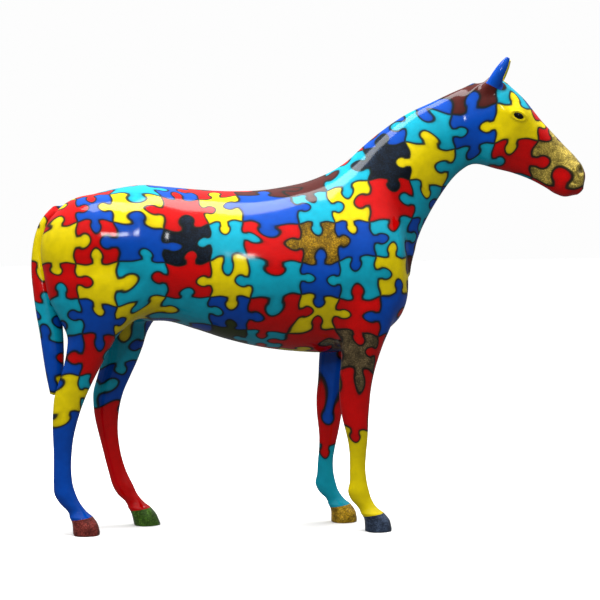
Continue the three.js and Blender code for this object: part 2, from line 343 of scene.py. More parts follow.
# A groove is its two ends, its depth and its width.
GROOVES = {
    "between the lips": (((760, 34, 972), (806, 20, 962)), 2.6, 5),
    "behind and under the cheek": (((560, 48, 1052), (690, 40, 1000)), 1.6, 9),
}

# The scoop in each ear's front, by distance along, aside from and across the ear.
EAR_SCOOP = {"centre": (50, 42, -20), "reach": (30, 6, 11), "depth": 11}

# Hooves: a low band stands out around the top of each, and its colour starts a little below that.
CORONET = {"height": 51, "width": 4.5, "rise": 1.5}
HOOF_REACH = 90  # how far from the middle of its sole a hoof may lie
HOOF_TOP, HOOF_TOP_RISE = 50, 0.16  # height where the colour starts there, and its rise forwards


def spline(rows):
    """A smooth curve through every column of a table, by its first column.

    Between two rows each column is a cubic that takes both rows' slopes. A row's slope is the mean
    of the slopes to its two neighbours, each weighted by the distance to the other one.
    """
    table = np.array(sorted(rows), float)
    at = table[:, 0]
    gap = np.diff(at)[:, None]
    rise = np.diff(table, axis=0) / gap
    slope = np.empty_like(table)
    slope[0], slope[-1] = rise[0], rise[-1]
    slope[1:-1] = (rise[1:] * gap[:-1] + rise[:-1] * gap[1:]) / (gap[:-1] + gap[1:])

    def section(where):
        i = np.clip(np.searchsorted(at, where) - 1, 0, len(at) - 2)
        step = gap[i]
        s = np.clip((where - at[i])[:, None] / step, 0, 1)
        value = table[i] * (1 + 2 * s) * (1 - s) ** 2 + table[i + 1] * s * s * (3 - 2 * s)
        value += step * (slope[i] * s * (1 - s) ** 2 - slope[i + 1] * s * s * (1 - s))
        return value.T[1:]

    return section


def leg_loft(leg):
    """A leg as a loft that runs straight down, so a row's distance along is minus its height.

    The joints' curve gives the middle of each section and the profile gives its depth and width.
    """
    heights = np.array([row[0] for row in leg["profile"]], float)
    middles, asides = spline(leg["joints"])(heights)
    rows = []
    for (height, depth, width), x, aside in zip(leg["profile"], middles, asides):
        power = 2.2 if height < CORONET["height"] + 9 else 2  # the hooves are a little squarer
        edges = [x + depth / 2, x - depth / 2]
        rows.append([-height, *edges, width / 2, x, power, leg["side"] * aside])
    return {"origin": [0, 0], "slope": -90, "turn": 0, "blend": LEG_BLEND, "rows": rows}


def mirrored(loft):
    """The same loft on the other side of the horse."""
    return {**loft, "rows": [[*row[:6], -row[6]] for row in loft["rows"]]}


def prepared(loft):
    """A loft with its curve, its axes in the side plane and the box around its sections."""
    angle = math.radians(loft["slope"])
    table = np.array(loft["rows"], float)
    return {
        **loft,
        "section": spline(loft["rows"]),
        "start": table[:, 0].min(),
        "end": table[:, 0].max(),
        "along": (math.cos(angle), math.sin(angle)),
        "across": (-math.sin(angle), math.cos(angle)),
        "low": np.array([table[:, 0].min(), (table[:, 6] - table[:, 3]).min(), table[:, 2].min()]),
        "high": np.array([table[:, 0].max(), (table[:, 6] + table[:, 3]).max(), table[:, 1].max()]),
    }


EAR_LOFT, OTHER_EAR = prepared(EAR), prepared(mirrored(EAR))
LOFTS = [prepared(loft) for loft in (TRUNK, NECK, HEAD, *map(leg_loft, LEGS.values()))]
LOFTS += [EAR_LOFT, OTHER_EAR, prepared(TAIL)]


def turned(x, y, degrees):
    """A point turned about the vertical through the poll."""
    if not degrees:
        return x, y
    angle = math.radians(degrees)
    cos, sin = math.cos(angle), math.sin(angle)
    return POLL + (x - POLL) * cos - y * sin, (x - POLL) * sin + y * cos


def place_in(loft, x, y, z):
    """A point's distance along a loft, its distance to the left and that across the axis."""
    x, y = turned(x, y, -loft["turn"])
    dx, dz = x - loft["origin"][0], z - loft["origin"][1]
    along, across = loft["along"], loft["across"]
    return dx * along[0] + dz * along[1], y, dx * across[0] + dz * across[1]


def section_distance(loft, t, v, w):
    """Distance to a loft's surface, negative inside.

    A section is the curve |v / half|^p + |u / reach|^p = 1 about its widest line. The distance is
    taken along the ray from its middle, and past the loft's ends along the axis too.
    """
    nearest = np.clip(t, loft["start"], loft["end"])
    above, below, half, widest, power, aside = loft["section"](nearest)
    v, u = v - aside, w - widest
    reach = np.where(u > 0, above - widest, widest - below)
    ratio = (np.abs(v / half) ** power + np.abs(u / reach) ** power) ** (1 / power)
    ratio = np.maximum(ratio, 1e-6)
    side = np.hypot(u, v) * (1 - 1 / ratio)
    side = np.where(ratio < 0.02, -np.minimum(half, reach), side)
    past = np.maximum(loft["start"] - t, t - loft["end"])
    return np.where((past > 0) & (side > 0), np.hypot(past, side), np.maximum(past, side))


def loft_distance(loft, x, y, z):
    """Distance to a loft near it, and farther off than CHECK_REACH the distance to its box."""
    t, v, w = place_in(loft, x, y, z)
    place = np.stack([t, v, w])
    low, high = loft["low"][:, None], loft["high"][:, None]
    outside = np.maximum(np.maximum(low - place, place - high), 0)
    distance = np.sqrt((outside**2).sum(0))
    near = distance < CHECK_REACH
    distance[near] = section_distance(loft, t[near], v[near], w[near])
    return distance


def join(a, b, soft):
    """The nearer of two distances, rounded where they lie within soft of each other."""
    near = np.maximum(soft - np.abs(a - b), 0) / soft
    return np.minimum(a, b) - near**2 * soft / 4


def oval_distance(centre, radii, x, y, z):
    """Distance to an oval along the ray from its centre."""
    p = np.stack([x - centre[0], y - centre[1], z - centre[2]])
    ratio = np.sqrt(((p / np.array(radii)[:, None]) ** 2).sum(0)).clip(1e-6)
    return np.sqrt((p**2).sum(0)) * (1 - 1 / ratio)


def segment_distance(ends, x, y, z):
    """Distance to a straight line between two points."""
    a, b = np.array(ends, float)
    p = np.stack([x, y, z], 1) - a
    s = np.clip(p @ (b - a) / ((b - a) @ (b - a)), 0, 1)
    return np.sqrt(((p - s[:, None] * (b - a)) ** 2).sum(1))


def bell(place, centre, reach):
    """A bell curve of height 1 around a centre: e to minus the sum of squared shares of reach."""
    return np.exp(-sum(((a - c) / r) ** 2 for a, c, r in zip(place, centre, reach)))


def on_slant(dx, dz):
    """A step in the side plane, along the eye's long side and across it."""
    slant = math.radians(EYE_SLANT)
    cos, sin = math.cos(slant), math.sin(slant)
    return dx * cos + dz * sin, dz * cos - dx * sin


def face_relief(x, y, z):
    """How far the fine forms of the head stand out, in thousandths.

    Each is a bell curve of the distance to a point, a ring or a line: the eyeball, the lids as a
    ring around it, the nostril as a pit with a rim, and the lips and the jaw line as grooves.
    """
    x, y = turned(x, y, -HEAD_TURN)
    y = np.abs(y)
    along, across = on_slant(x - EYE[0], z - EYE[2])
    from_eye = np.hypot(along / EYE_LONG, across / EYE_HIGH)
    from_nostril = np.hypot((x - NOSTRIL[0]) / NOSTRIL_LONG, (z - NOSTRIL[2]) / NOSTRIL_HIGH)
    out = np.zeros_like(x)
    for height, ring, width in EYE_RINGS.values():
        out += height * bell((from_eye, y), (ring, EYE[1]), (width, EYE_DEEP))
    for height, ring, width in NOSTRIL_RINGS.values():
        out += height * bell((from_nostril, y), (ring, NOSTRIL[1]), (width, NOSTRIL_DEEP))
    for ends, depth, width in GROOVES.values():
        out -= depth * bell([segment_distance(ends, x, y, z)], [0], [width])
    return out


def ear_hollow(x, y, z):
    """How far each ear is scooped out: a bell curve around the middle of its front."""
    t, v, w = place_in(EAR_LOFT, x, y, z)
    return EAR_SCOOP["depth"] * bell((t, np.abs(v), w), EAR_SCOOP["centre"], EAR_SCOOP["reach"])


def horse_distance(x, y, z):
    """Distance to the whole horse's surface in thousandths, negative inside.

    The lofts and ovals are joined one after another. Then the swells, the fine forms of the head
    and the band around each hoof move the surface out or in.
    """
    distance = np.full(x.shape, np.inf)
    for loft in LOFTS:
        distance = join(distance, loft_distance(loft, x, y, z), max(loft["blend"], 1e-3))
    for oval in OVALS.values():
        tx, ty = turned(x, y, -oval["turn"])
        away = oval_distance(oval["centre"], oval["radii"], tx, np.abs(ty), z)
        distance = join(distance, away, oval["blend"])
    for swell in SWELLS.values():
        tx, ty = turned(x, y, -swell["turn"])
        distance -= swell["height"] * bell((tx, np.abs(ty), z), swell["centre"], swell["reach"])
    on_head = (x > HEAD_STARTS[0]) & (z > HEAD_STARTS[1])
    face = [a[on_head] for a in (x, y, z)]
    distance[on_head] += ear_hollow(*face) - face_relief(*face)
    distance -= CORONET["rise"] * bell([z], [CORONET["height"]], [CORONET["width"]])
    return distance


def gradient(points):
    """Slope of the distance at each point, by central differences."""
    nudge = 0.4
    slopes = []
    for axis in range(3):
        step = np.zeros(3)
        step[axis] = nudge
        ahead, behind = horse_distance(*(points + step).T), horse_distance(*(points - step).T)
        slopes.append((ahead - behind) / (2 * nudge))
    return np.stack(slopes, 1)


def settled(points, passes):
    """Points moved onto the surface, each down the distance's slope by the distance.

    The step is the distance over the squared slope, which is taken as 0.2 at least so that no point
    jumps. The soles stay flat at height 0.
    """
    for _ in range(passes):
        slope = gradient(points)
        steep = np.maximum((slope**2).sum(1), 0.2)
        points = points - (horse_distance(*points.T) / steep)[:, None] * slope
        points[:, 2] = np.maximum(points[:, 2], 0)
    return points


def grid_lines(stops):
    """Lines along one axis: each stretch is cut into equal steps close to the length it asks."""
    lines = [np.array([stops[0][0]])]
    for (start, step), (end, _) in zip(stops, stops[1:]):
        count = max(1, round((end - start) / step))
        lines.append(start + (end - start) * np.arange(1, count + 1) / count)
    return np.concatenate(lines)


def sampled(lines, block=6):
    """The distance on every crossing of the grid's lines.

    It is worked out once in the middle of each block of cells, and again at every crossing of the
    blocks that the surface may pass through.
    """
    steepest, slack = 1.4, 12  # how fast the distance can change, and how much it can be wrong by
    size = [len(line) for line in lines]
    starts = [np.arange(0, n, block) for n in size]
    ends = [np.minimum(s + block, n) - 1 for s, n in zip(starts, size)]
    low = [line[s] for line, s in zip(lines, starts)]
    high = [line[np.minimum(e + 1, n - 1)] for line, e, n in zip(lines, ends, size)]
    middle = np.meshgrid(*[(a + b) / 2 for a, b in zip(low, high)], indexing="ij")
    half = np.meshgrid(*[(b - a) / 2 for a, b in zip(low, high)], indexing="ij")
    coarse = horse_distance(*[m.ravel() for m in middle]).reshape(middle[0].shape)
    near = np.abs(coarse) < steepest * np.sqrt(sum(h**2 for h in half)) + slack
    for axis, n in enumerate(size):
        which = np.arange(n) // block
        coarse, near = coarse.take(which, axis), near.take(which, axis)
    spots = np.nonzero(near)
    coarse[spots] = horse_distance(*[line[s] for line, s in zip(lines, spots)])
    return coarse


def wrapped(lines, distance):
    """A closed surface of quads around the points with a negative distance.

    Every cell that the surface passes through gets one vertex, at the mean of the crossings on the
    cell's twelve edges, and every edge that is crossed gets a quad through its four cells.
    """
    inside = distance < 0
    corners = [(i, j, k) for i in (0, 1) for j in (0, 1) for k in (0, 1)]
    cut = tuple(n - 1 for n in distance.shape)

    def shifted(array, corner):
        return array[tuple(slice(c, c + n) for c, n in zip(corner, cut))]

    count = sum(shifted(inside, corner).astype(np.int8) for corner in corners)
    active = (count > 0) & (count < 8)
    cells = np.argwhere(active)
    number = np.full(cut, -1)
    number[active] = np.arange(len(cells))
    total, crossings = np.zeros((len(cells), 3)), np.zeros((len(cells), 1))
    for a in corners:
        for axis in range(3):
            if a[axis]:
                continue
            b = tuple(c + (i == axis) for i, c in enumerate(a))
            at_a, at_b = cells + a, cells + b
            fa, fb = distance[tuple(at_a.T)], distance[tuple(at_b.T)]
            crossed = ((fa < 0) != (fb < 0))[:, None]
            share = (fa / np.where(fa == fb, 1, fa - fb))[:, None]
            pa = np.stack([line[i] for line, i in zip(lines, at_a.T)], 1)
            pb = np.stack([line[i] for line, i in zip(lines, at_b.T)], 1)
            total += np.where(crossed, pa + share * (pb - pa), 0)
            crossings += crossed
    points = total / crossings
    quads = []
    for axis in range(3):
        b, c = (axis + 1) % 3, (axis + 2) % 3
        ahead = np.take(inside, range(1, inside.shape[axis]), axis)
        behind = np.take(inside, range(inside.shape[axis] - 1), axis)
        for outward, crossed in ((True, behind & ~ahead), (False, ahead & ~behind)):
            at = np.argwhere(crossed)
            ring = []
            for back_b, back_c in ((1, 1), (0, 1), (0, 0), (1, 0)):
                cell = at.copy()
                cell[:, b] -= back_b
                cell[:, c] -= back_c
                ring.append(number[tuple(cell.T)])
            quad = np.stack(ring, 1)
            quads.append(quad if outward else quad[:, ::-1])
    return points, np.concatenate(quads)


def mean_of_neighbours(values, quads):
    """For each vertex, the mean of a value over the vertices that share an edge with it."""
    a, b = quads.ravel(), np.roll(quads, -1, axis=1).ravel()
    total = np.zeros_like(values)
    np.add.at(total, a, values[b])
    np.add.at(total, b, values[a])
    count = np.bincount(a, minlength=len(values)) + np.bincount(b, minlength=len(values))
    return total / count[:, None]


def unit(vectors):
    """Vectors of length one in the same directions."""
    return vectors / np.sqrt((vectors**2).sum(1)).clip(1e-9)[:, None]


# The painted coat. Distances are in pieces, and one piece is this long and this high on the coat.
PIECE_LONG, PIECE_HIGH = 0.190, 0.165
PLAIN_ROW = 20  # the legs are one plain colour in the rows below this one
COAT_START = (-3.17, 0.555)  # where on the side plane column 0 and the plain row begin, in metres
SHEAR = 0.35  # how far the pieces lean along the horse as they pass over its back
COAT_PASSES = 40  # how often the coat's outward push is evened out
WAVES = (0.55, 0.34, 0.21)  # lengths of the waves that make the pieces uneven, three of each
WAVE_PUSH = 0.016  # how far a wave moves the coat, as a share of its length
FALL_HEIGHTS = (0.76, 0.46)  # between these heights the coat slides down the two forelegs
FALL_AHEAD = -0.1  # it does so ahead of this x
NEAR_FALL, FAR_FALL = 0.085, 0.185  # how far it slides on each side
MUZZLE, MUZZLE_REACH = (1.18, 1.60), (0.13, 0.16)  # here the coat is drawn to one spot
MUZZLE_SPOT, MUZZLE_DRAW = (1.135, 1.60), 0.42  # that spot, and the share of the way to it


def half_thickness(points):
    """Half of the body's width near each point: a mean of the lofts, the nearest counting most."""
    fade = 12  # a loft counts e times less for each such step that a point lies off it
    total, weight = np.zeros(len(points)), np.full(len(points), 1e-9)
    for loft in LOFTS:
        t = place_in(loft, *points.T)[0]
        half = loft["section"](np.clip(t, loft["start"], loft["end"]))[2]
        near = np.exp(-np.maximum(loft_distance(loft, *points.T), 0) / fade)
        total += near * half
        weight += near
    return total / weight


def coat_place(points, slope, quads):
    """Each point's place on the coat, in pieces along the horse and upwards.

    The coat is the side plane, pushed outward where the surface turns away from the side. Where the
    surface has turned by an angle f it is pushed by b (f - sin f), with b half of the body's
    thickness, so a piece keeps its length along the surface. Slow sine waves make the pieces
    uneven. The coat slides down the forelegs by a smooth step, so that their plain colour starts
    lower, and around the muzzle it is drawn to one spot, which makes the pieces there larger.
    """
    sine = np.hypot(slope[:, 0], slope[:, 2]).clip(1e-6, 1)
    push = half_thickness(points) * (np.arcsin(sine) - sine) / sine
    shift = push[:, None] * slope[:, [0, 2]]
    for _ in range(COAT_PASSES):
        shift = mean_of_neighbours(shift, quads)
    x, y, z = points.T * SHARE
    along = x + shift[:, 0] * SHARE + SHEAR * y
    up = z + shift[:, 1] * SHARE
    draw = np.random.default_rng(11)
    for length in WAVES:
        for _ in range(3):
            turn, lean = draw.uniform(0, math.tau, 2)
            wave = (x * math.cos(lean) + z * math.sin(lean) + 0.7 * y) * math.tau / length + turn
            along = along + WAVE_PUSH * length * np.sin(wave)
            up = up + WAVE_PUSH * length * np.cos(wave * 0.93)
    fall = np.clip((FALL_HEIGHTS[0] - z) / (FALL_HEIGHTS[0] - FALL_HEIGHTS[1]), 0, 1)
    fall = fall * fall * (3 - 2 * fall) * (x > FALL_AHEAD)
    up = up + fall * np.where(y > 0, FAR_FALL, NEAR_FALL)
    muzzle = MUZZLE_DRAW * bell((x, z), MUZZLE, MUZZLE_REACH)
    along = along + muzzle * (MUZZLE_SPOT[0] - along)
    up = up + muzzle * (MUZZLE_SPOT[1] - up)
    return (along - COAT_START[0]) / PIECE_LONG, (up - COAT_START[1]) / PIECE_HIGH + PLAIN_ROW


def face_paint_and_nostril_shade(points):
    """Where the ears, the eyes and the nostrils are painted: each is above 0 inside its own shape.

    An eye and a nostril are ovals in the side plane, on what lies further out than 30 and 12 from
    the middle of the head; the nostril's oval is painted shade, darkening its hollow. An ear is all
    that is within 3 of its loft and more than 10 up it.
    """
    x, y, z = points.T
    ear = np.minimum(loft_distance(EAR_LOFT, x, y, z), loft_distance(OTHER_EAR, x, y, z))
    up_the_ear = place_in(EAR_LOFT, x, y, z)[0]
    x, y = turned(x, y, -HEAD_TURN)
    along, across = on_slant(x - EYE[0], z - EYE[2])
    eye = 1 - np.hypot(along / EYE_LONG, across / EYE_HIGH)
    eye = np.where(np.abs(y) > 30, eye, -1)
    # The nostril's oval of painted shade, darkening its hollow.
    nostril = 1 - np.hypot((x - NOSTRIL[0]) / NOSTRIL_SHADE_SIZE[0], (z - NOSTRIL[2]) / NOSTRIL_SHADE_SIZE[1])
    nostril = np.where(np.abs(y) > 12, nostril, -1)
    return np.minimum(3 - ear, up_the_ear - 10), eye, nostril


def horse_mesh():
    """The horse's surface as one mesh, with its place on the coat and its marks at each vertex."""
    lines = [grid_lines(stops) for stops in (GRID_X, GRID_Y, GRID_Z)]
    points, quads = wrapped(lines, sampled(lines))
    points = settled(points, 2)
    for _ in range(2):
        points = settled((points + mean_of_neighbours(points, quads)) / 2, 1)
    slope = unit(gradient(points))
    # Paint of the ears and eyes, and painted shade in the nostrils' hollows.
    marks = face_paint_and_nostril_shade(points)
    hoof = hoof_depth(points)
    coat = coat_place(points, slope, quads)
    place = fitted(points * SHARE)
    mesh = bpy.data.meshes.new("horse_surface")
    mesh.from_pydata(place.tolist(), [], quads.tolist())
    for name, values in (("coat", (*coat, hoof)), ("marks", marks)):
        attribute = mesh.attributes.new(name, "FLOAT_VECTOR", "POINT")
        attribute.data.foreach_set("vector", np.stack(values, 1).astype(np.float32).ravel())
    mesh.polygons.foreach_set("use_smooth", np.ones(len(quads), bool))
    mesh.normals_split_custom_set_from_vertices(slope.tolist())
    return mesh


def fitted(place):
    """The surface moved and stretched along each axis, by under a hundredth, to the CAD box."""
    low, high = np.array(cad_box)
    return low + (place - place.min(0)) / np.ptp(place, axis=0) * (high - low)


def hoof_depth(points):
    """How far below the top of its hoof a point is, in metres. The top slopes down to the heel."""
    x, y, z = points.T
    depth = np.full(len(points), -1.0)
    for leg in LEGS.values():
        sole = np.array(leg["joints"][-1][1:])
        near = np.hypot(x - sole[0], y - leg["side"] * sole[1]) < HOOF_REACH
        top = HOOF_TOP + HOOF_TOP_RISE * (x - sole[0])
        depth = np.where(near, (top - z) * SHARE, depth)
    return depth


def linear(colour):
    """An sRGB hex colour as linear red, green, blue and opacity."""
    parts = [int(colour[i : i + 2], 16) / 255 for i in (0, 2, 4)]
    return (*[c / 12.92 if c <= 0.04045 else ((c + 0.055) / 1.055) ** 2.4 for c in parts], 1)


def add(tree, kind, values=(), **settings):
    """Add a node with its settings, set or link its inputs by place or name, and give its output."""
    node = tree.nodes.new(kind)
    for name, value in settings.items():
        setattr(node, name, value)
    for place, value in values.items() if isinstance(values, dict) else enumerate(values):
        socket = node.inputs[place]
        if isinstance(value, bpy.types.NodeSocket):
            tree.links.new(value, socket)
        else:
            socket.default_value = value
    return next((socket for socket in node.outputs if socket.enabled), None)


MATHS, VECTOR = "ShaderNodeMath", "ShaderNodeVectorMath"
SPLIT, COMBINE = "ShaderNodeSeparateXYZ", "ShaderNodeCombineXYZ"
CHANCE, RANGE, MIX = "ShaderNodeTexWhiteNoise", "ShaderNodeMapRange", "ShaderNodeMix"
PART, NUMBER_A, NUMBER_B, COLOUR_A, COLOUR_B = 0, 2, 3, 6, 7  # the inputs of a mix node


def puzzle_edge():
    """A group for one edge between two pieces: its output is below 0 on one side, above 0 beyond.

    The edge has one round tab on a short neck, and draws back on both sides of it by a squared
    sine. By chance the tab points either way, sits a little off the middle and reaches a little
    more or less. Two smooth minimums join the edge, the neck and the round head.
    """
    tree = bpy.data.node_groups.new("puzzle_edge", "ShaderNodeTree")
    for name, kind in (("Edge", "Vector"), ("Across", "Float"), ("Along", "Float")):
        tree.interface.new_socket(name, in_out="INPUT", socket_type="NodeSocket" + kind)
    tree.interface.new_socket("Side", in_out="OUTPUT", socket_type="NodeSocketFloat")
    given = tree.nodes.new("NodeGroupInput").outputs
    chance = add(tree, CHANCE, {"Vector": given["Edge"]}, noise_dimensions="3D").node
    first, second, third = add(tree, SPLIT, (chance.outputs["Color"],)).node.outputs
    centred = add(tree, MATHS, (first, 0.5), operation="SUBTRACT")
    way = add(tree, MATHS, (centred,), operation="SIGN")
    middle = add(tree, MATHS, (second, 0.10, 0.45), operation="MULTIPLY_ADD")
    reach = add(tree, MATHS, (third, 0.04, 0.185), operation="MULTIPLY_ADD")
    turn = add(tree, MATHS, (given["Along"], math.tau), operation="MULTIPLY")
    wave = add(tree, MATHS, (turn,), operation="SINE")
    bow = add(tree, MATHS, (wave, 2.0), operation="POWER")
    bow = add(tree, MATHS, (bow, EDGE_BOW), operation="MULTIPLY")
    ahead = add(tree, MATHS, (given["Across"], way, bow), operation="MULTIPLY_ADD")
    aside = add(tree, MATHS, (given["Along"], middle), operation="SUBTRACT")
    beyond = add(tree, MATHS, (ahead, reach), operation="SUBTRACT")
    spot = add(tree, COMBINE, (beyond, aside))
    away = add(tree, VECTOR, (spot,), operation="LENGTH")
    head = add(tree, MATHS, (away, TAB_ROUND), operation="SUBTRACT")
    width = add(tree, MATHS, (aside,), operation="ABSOLUTE")
    outside = add(tree, MATHS, (width, TAB_NECK), operation="SUBTRACT")
    neck = add(tree, MATHS, (outside, beyond), operation="MAXIMUM")
    tab = add(tree, MATHS, (head, neck, 0.04), operation="SMOOTH_MIN")
    edge = add(tree, MATHS, (ahead, tab, 0.07), operation="SMOOTH_MIN")
    side = add(tree, MATHS, (edge, way), operation="MULTIPLY")
    add(tree, "NodeGroupOutput", (side,))
    return tree


def piece_colour():
    """A group that gives a piece its colour's number, so that no two neighbours share one.

    Pieces alternate like a chequerboard. Half of them take one of four colours by chance. Each of
    the others starts from a colour by chance and takes the first that none of its four neighbours
    has. Where they have all four between them, it takes maroon.
    """
    tree = bpy.data.node_groups.new("piece_colour", "ShaderNodeTree")
    tree.interface.new_socket("Piece", in_out="INPUT", socket_type="NodeSocketVector")
    tree.interface.new_socket("Colour", in_out="OUTPUT", socket_type="NodeSocketFloat")
    piece = tree.nodes.new("NodeGroupInput").outputs["Piece"]
    seen = []
    for step in ((0, 0, SEED), (1, 0, SEED), (-1, 0, SEED), (0, 1, SEED), (0, -1, SEED)):
        place = add(tree, VECTOR, (piece, step), operation="ADD")
        chance = add(tree, CHANCE, {"Vector": place}, noise_dimensions="3D")
        four = add(tree, MATHS, (chance, 4.0), operation="MULTIPLY")
        seen.append(add(tree, MATHS, (four,), operation="FLOOR"))
    taken = 0.0
    for colour in seen[1:]:
        digit = add(tree, MATHS, (8.0, colour), operation="POWER")
        taken = add(tree, MATHS, (taken, digit), operation="ADD")
    choice = NUMBERS["maroon"]
    for turn in (3.0, 2.0, 1.0, 0.0):
        shifted = add(tree, MATHS, (seen[0], turn), operation="ADD")
        colour = add(tree, MATHS, (shifted, 4.0), operation="MODULO")
        digit = add(tree, MATHS, (8.0, colour), operation="POWER")
        share = add(tree, MATHS, (taken, digit), operation="DIVIDE")
        whole = add(tree, MATHS, (share,), operation="FLOOR")
        count = add(tree, MATHS, (whole, 8.0), operation="MODULO")
        free = add(tree, MATHS, (count, 0.5), operation="LESS_THAN")
        choice = add(tree, MIX, {PART: free, NUMBER_A: choice, NUMBER_B: colour})
    column, row, _ = add(tree, SPLIT, (piece,)).node.outputs
    total = add(tree, MATHS, (column, row), operation="ADD")
    odd = add(tree, MATHS, (total, 2.0), operation="MODULO")
    result = add(tree, MIX, {PART: odd, NUMBER_A: seen[0], NUMBER_B: choice})
    add(tree, "NodeGroupOutput", (result,))
    return tree


# The colours of the coat, numbered in this order. The first four are those of most pieces, and the
# plain colours of the near hind, near fore, far hind and far fore legs. The near ear has the first
# and the far ear the second. From gold on they are flakes of metal in clear lacquer.
COLOURS = {
    "blue": "003C96",
    "yellow": "C8B400",
    "red": "AF0202",
    "teal": "068CA2",
    "maroon": "3E120E",
    "olive": "28320C",
    "gold": "76590A",
    "pale gold": "9E8A3C",
    "black": "08121E",
    "grey brown": "5C4E34",
    "near hind hoof": "74302A",
    "near fore hoof": "344054",
    "far hind hoof": "3A5A1A",
    "far fore hoof": "A8841E",
}
NUMBERS = {name: float(number) for number, name in enumerate(COLOURS)}
# The nostril colour is painted shade: it darkens the nostrils' hollows towards near black.
LINE_COLOUR, EYE_COLOUR, NOSTRIL_SHADE_COLOUR = "0A1410", "050505", "140C02"
SEED = 747662  # picks the layout of the coat
TAB_ROUND, TAB_NECK = 0.152, 0.115  # radius of a tab's head and half width of its neck, in pieces
EDGE_BOW = 0.05  # how far an edge draws back beside its tab, in pieces
LEVEL_EDGES = 50  # keeps the chances of level edges apart from those of upright ones

# Pieces with a colour of their own: the accents, and a few that even out the shares of the others.
# Each has its column, its row and its side: 0 for the near side alone, and 0.5 for a piece that may
# reach over both.
CHOSEN = {
    "yellow": [(19, 26, 0.5), (18, 23, 0.5), (11, 23, 0)],
    "red": [(10, 25, 0.5), (10, 23, 0.5), (14, 26, 0.5), (15, 24, 0)],
    "teal": [(12, 23, 0)],
    "maroon": [(15, 26, 0.5), (16, 26, 0.5), (20, 28, 0.5), (19, 23, 0.5)],
    "olive": [(14, 21, 0.5)],
    "gold": [(16, 24, 0.5)],
    "pale gold": [(22, 26, 0.5)],
    "black": [(13, 24, 0.5), (18, 26, 0.5)],
    "grey brown": [(17, 21, 0)],
}

# Scales of the patterns, in marks to the metre.
BRUSH_MARKS = 28.0  # about 36 mm long
THIN_SPOTS = 26.0  # about 38 mm wide, where the flakes lie thin or thick
FLAKES = 230.0  # drawn 4 mm wide so that they show, where the real ones are 1 to 3 mm
RIPPLES = 34.0  # about 30 mm long, left in the lacquer by the brush
MOTTLE = 3.0  # about 330 mm wide, on the floor's paper


def puzzle_pieces(tree, along, up):
    """Which piece a place on the coat belongs to, and how far it is from the nearest edge.

    The coat is a grid of cells. A place beyond one of its cell's four edges is on the tab of the
    neighbour there, and belongs to that piece. Among the plain rows no edge is drawn.
    """
    flat = add(tree, COMBINE, (along, up))
    cell = add(tree, VECTOR, (flat,), operation="FLOOR")
    within = add(tree, VECTOR, (flat,), operation="FRACTION")
    from_left, from_bottom, _ = add(tree, SPLIT, (within,)).node.outputs
    from_right = add(tree, MATHS, (from_left, 1.0), operation="SUBTRACT")
    from_top = add(tree, MATHS, (from_bottom, 1.0), operation="SUBTRACT")
    group = puzzle_edge()
    sides = []
    for step, across, beside in (
        ((0, 0, 0), from_left, from_bottom),
        ((1, 0, 0), from_right, from_bottom),
        ((0, 0, LEVEL_EDGES), from_bottom, from_left),
        ((0, 1, LEVEL_EDGES), from_top, from_left),
    ):
        edge = add(tree, VECTOR, (cell, step), operation="ADD")
        sides.append(add(tree, "ShaderNodeGroup", (edge, across, beside), node_tree=group))
    left, right, bottom, top = sides
    before = add(tree, MATHS, (left, 0.0), operation="LESS_THAN")
    beyond = add(tree, MATHS, (right, 0.0), operation="GREATER_THAN")
    below = add(tree, MATHS, (bottom, 0.0), operation="LESS_THAN")
    above = add(tree, MATHS, (top, 0.0), operation="GREATER_THAN")
    column_step = add(tree, MATHS, (beyond, before), operation="SUBTRACT")
    row_step = add(tree, MATHS, (above, below), operation="SUBTRACT")
    step = add(tree, COMBINE, (column_step, row_step))
    piece = add(tree, VECTOR, (cell, step), operation="ADD")

    _, row, _ = add(tree, SPLIT, (cell,)).node.outputs
    no_sides = add(tree, MATHS, (row, PLAIN_ROW - 0.5), operation="LESS_THAN")
    no_top = add(tree, MATHS, (row, PLAIN_ROW - 1.5), operation="LESS_THAN")
    gap = 9.0
    for side, hidden in ((left, no_sides), (right, no_sides), (bottom, no_sides), (top, no_top)):
        distance = add(tree, MATHS, (side,), operation="ABSOLUTE")
        distance = add(tree, MATHS, (distance, hidden), operation="ADD")
        gap = add(tree, MATHS, (gap, distance), operation="MINIMUM")
    return piece, gap


def colour_number(tree, piece, place, hoof, on_ear):
    """The number of the colour at a place: its piece's, or that of the plain leg, ear or hoof."""
    x, y, _ = add(tree, SPLIT, (place,)).node.outputs
    fore = add(tree, MATHS, (x, -0.4), operation="GREATER_THAN")
    far = add(tree, MATHS, (y, 0.0), operation="GREATER_THAN")
    leg = add(tree, MATHS, (far, 2.0, fore), operation="MULTIPLY_ADD")
    number = add(tree, "ShaderNodeGroup", (piece,), node_tree=piece_colour())
    own_side = add(tree, COMBINE, (0.0, 0.0, far))
    sided = add(tree, VECTOR, (piece, own_side), operation="ADD")
    for name, places in CHOSEN.items():
        for where in places:
            apart = add(tree, VECTOR, (sided, where), operation="DISTANCE")
            same = add(tree, MATHS, (apart, 0.6), operation="LESS_THAN")
            number = add(tree, MIX, {PART: same, NUMBER_A: number, NUMBER_B: NUMBERS[name]})
    _, row, _ = add(tree, SPLIT, (piece,)).node.outputs
    plain = add(tree, MATHS, (row, PLAIN_ROW - 0.5), operation="LESS_THAN")
    number = add(tree, MIX, {PART: plain, NUMBER_A: number, NUMBER_B: leg})
    number = add(tree, MIX, {PART: on_ear, NUMBER_A: number, NUMBER_B: far})
    hoof_number = add(tree, MATHS, (leg, NUMBERS["near hind hoof"]), operation="ADD")
    on_hoof = add(tree, MATHS, (hoof, 0.0), operation="GREATER_THAN")
    return add(tree, MIX, {PART: on_hoof, NUMBER_A: number, NUMBER_B: hoof_number})


